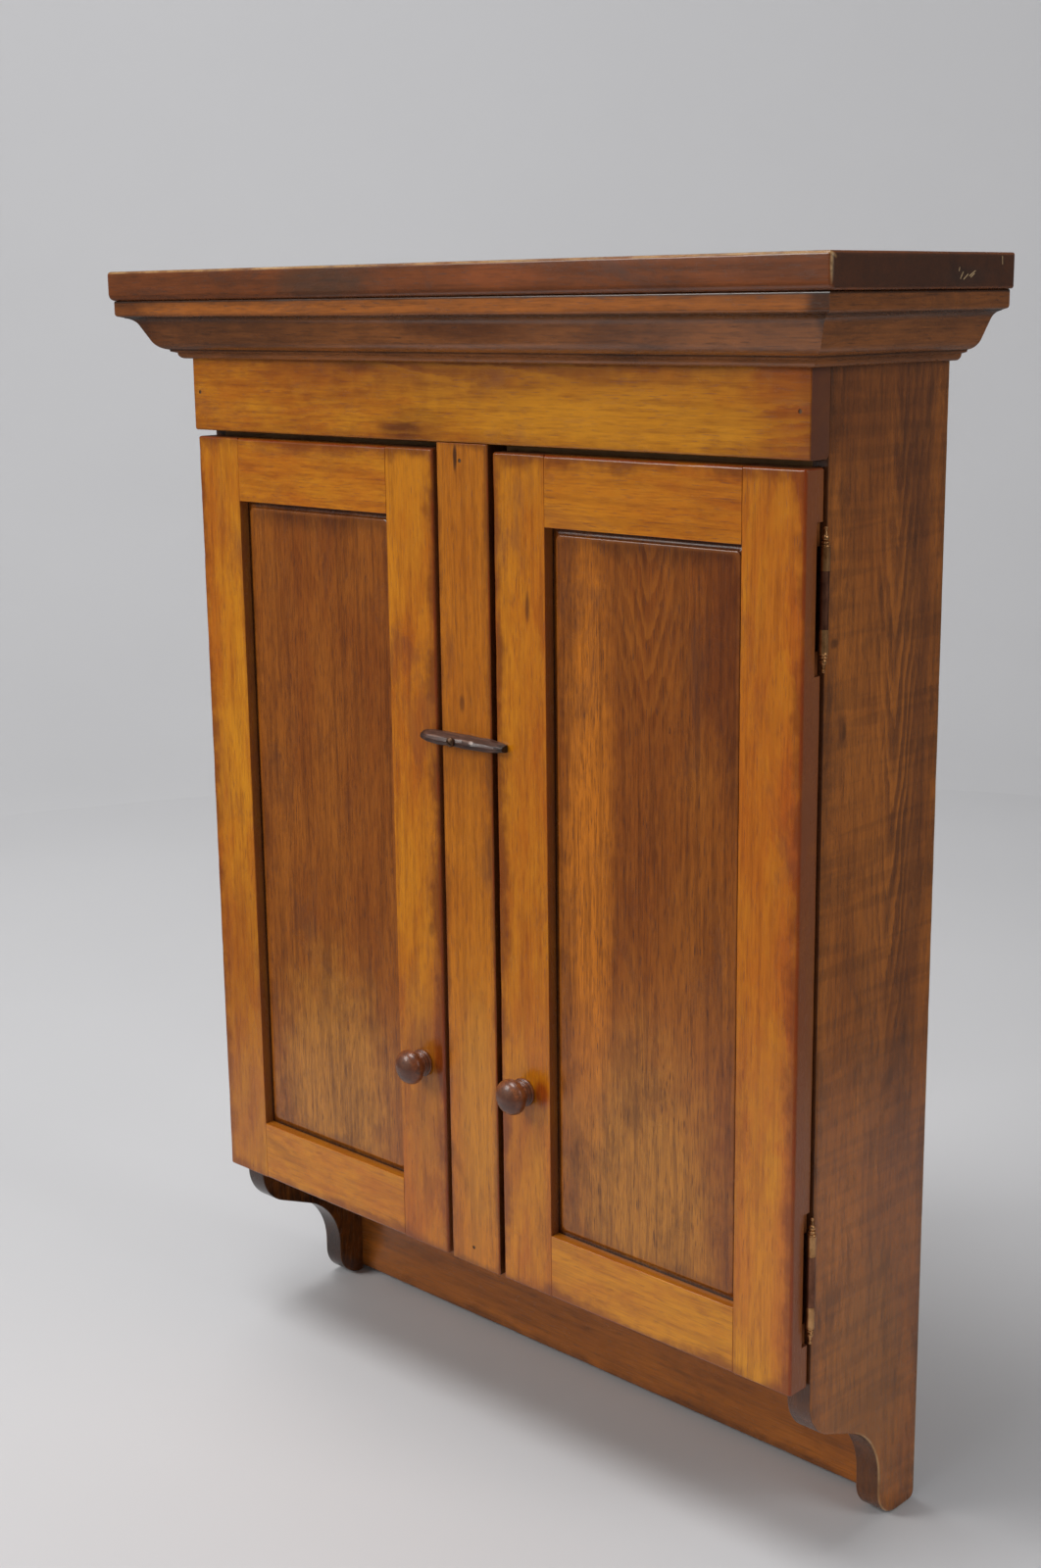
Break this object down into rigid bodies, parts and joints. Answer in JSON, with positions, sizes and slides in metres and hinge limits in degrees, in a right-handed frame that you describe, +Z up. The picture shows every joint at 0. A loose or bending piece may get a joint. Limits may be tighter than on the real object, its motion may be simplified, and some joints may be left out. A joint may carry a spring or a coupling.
{
  "type": "hanging wall cupboard",
  "caption": "Wall-hanging wooden cupboard with panelled doors on brass hinges, moulded cornice, turn button, shelves and scrolled brackets.",
  "frame": {"origin": "on the wall plane, on the centre line, at the height of the two hanging screws", "axes": "+X to the right seen from the room, +Y into the wall, +Z up"},
  "size_m": [0.76, 0.217, 0.9764],
  "materials": {
    "honey_frame": "glossy aged varnish on maple",
    "brown_panel": "glossy varnish, dark red-brown",
    "brown_side": "glossy varnish, red-brown",
    "dark_top": "dark stained and varnished, worn on edges",
    "dark_turning": "dark polished turned wood",
    "inner_wood": "plain unvarnished aged softwood",
    "brass": "aged brass",
    "iron": "dull dark iron"
  },
  "bodies": {
    "carcass": {"apron": "brown_side", "back_board_1": "inner_wood", "back_board_2": "inner_wood", "back_board_3": "inner_wood", "back_board_4": "inner_wood", "back_board_5": "inner_wood", "back_nails": "iron", "bottom_board": "inner_wood", "centre_stile": "honey_frame", "cleat_screws": "iron", "cornice_front": "dark_top", "cornice_pins": "iron", "frieze": "honey_frame", "frieze_nails": "iron", "front_rail": "inner_wood", "hanging_rail": "inner_wood", "hinge_end_finials": "brass", "left_cornice_return": "dark_top", "left_lower_cleat": "inner_wood", "left_lower_hinge_pin": "brass", "left_lower_hinge_side_leaf": "brass", "left_side": "brown_side", "left_side_leaf_screws": "brass", "left_upper_cleat": "inner_wood", "left_upper_hinge_pin": "brass", "left_upper_hinge_side_leaf": "brass", "lower_shelf": "inner_wood", "right_cornice_return": "dark_top", "right_lower_cleat": "inner_wood", "right_lower_hinge_pin": "brass", "right_lower_hinge_side_leaf": "brass", "right_side": "brown_side", "right_side_leaf_screws": "brass", "right_upper_cleat": "inner_wood", "right_upper_hinge_pin": "brass", "right_upper_hinge_side_leaf": "brass", "stile_nails": "iron", "top_board": "dark_top", "top_nails": "iron", "turn_button_screw": "iron", "upper_shelf": "inner_wood"},
    "left_door": {"left_door_bottom_rail": "honey_frame", "left_door_hinge_stile": "honey_frame", "left_door_leaf_screws": "brass", "left_door_lock_stile": "honey_frame", "left_door_panel": "brown_panel", "left_door_top_rail": "honey_frame", "left_knob": "dark_turning", "left_lower_hinge_door_leaf": "brass", "left_upper_hinge_door_leaf": "brass"},
    "right_door": {"right_door_bottom_rail": "honey_frame", "right_door_hinge_stile": "honey_frame", "right_door_leaf_screws": "brass", "right_door_lock_stile": "honey_frame", "right_door_panel": "brown_panel", "right_door_top_rail": "honey_frame", "right_knob": "dark_turning", "right_lower_hinge_door_leaf": "brass", "right_upper_hinge_door_leaf": "brass"},
    "turn_button": {"turn_button": "dark_turning"}
  },
  "joints": [
    {"name": "left_door_hinge", "type": "hinge", "parent": "carcass", "child": "left_door", "pos_m": [-0.3305, -0.1485, -0.4215], "axis": [0, 0, -1], "range_deg": [0, 180]},
    {"name": "right_door_hinge", "type": "hinge", "parent": "carcass", "child": "right_door", "pos_m": [0.3305, -0.1485, -0.4215], "axis": [0, 0, 1], "range_deg": [0, 180]},
    {"name": "turn_button_pivot", "type": "hinge", "parent": "carcass", "child": "turn_button", "pos_m": [-0.0065, -0.173, -0.31], "axis": [0, -1, 0], "continuous": true}
  ]
}
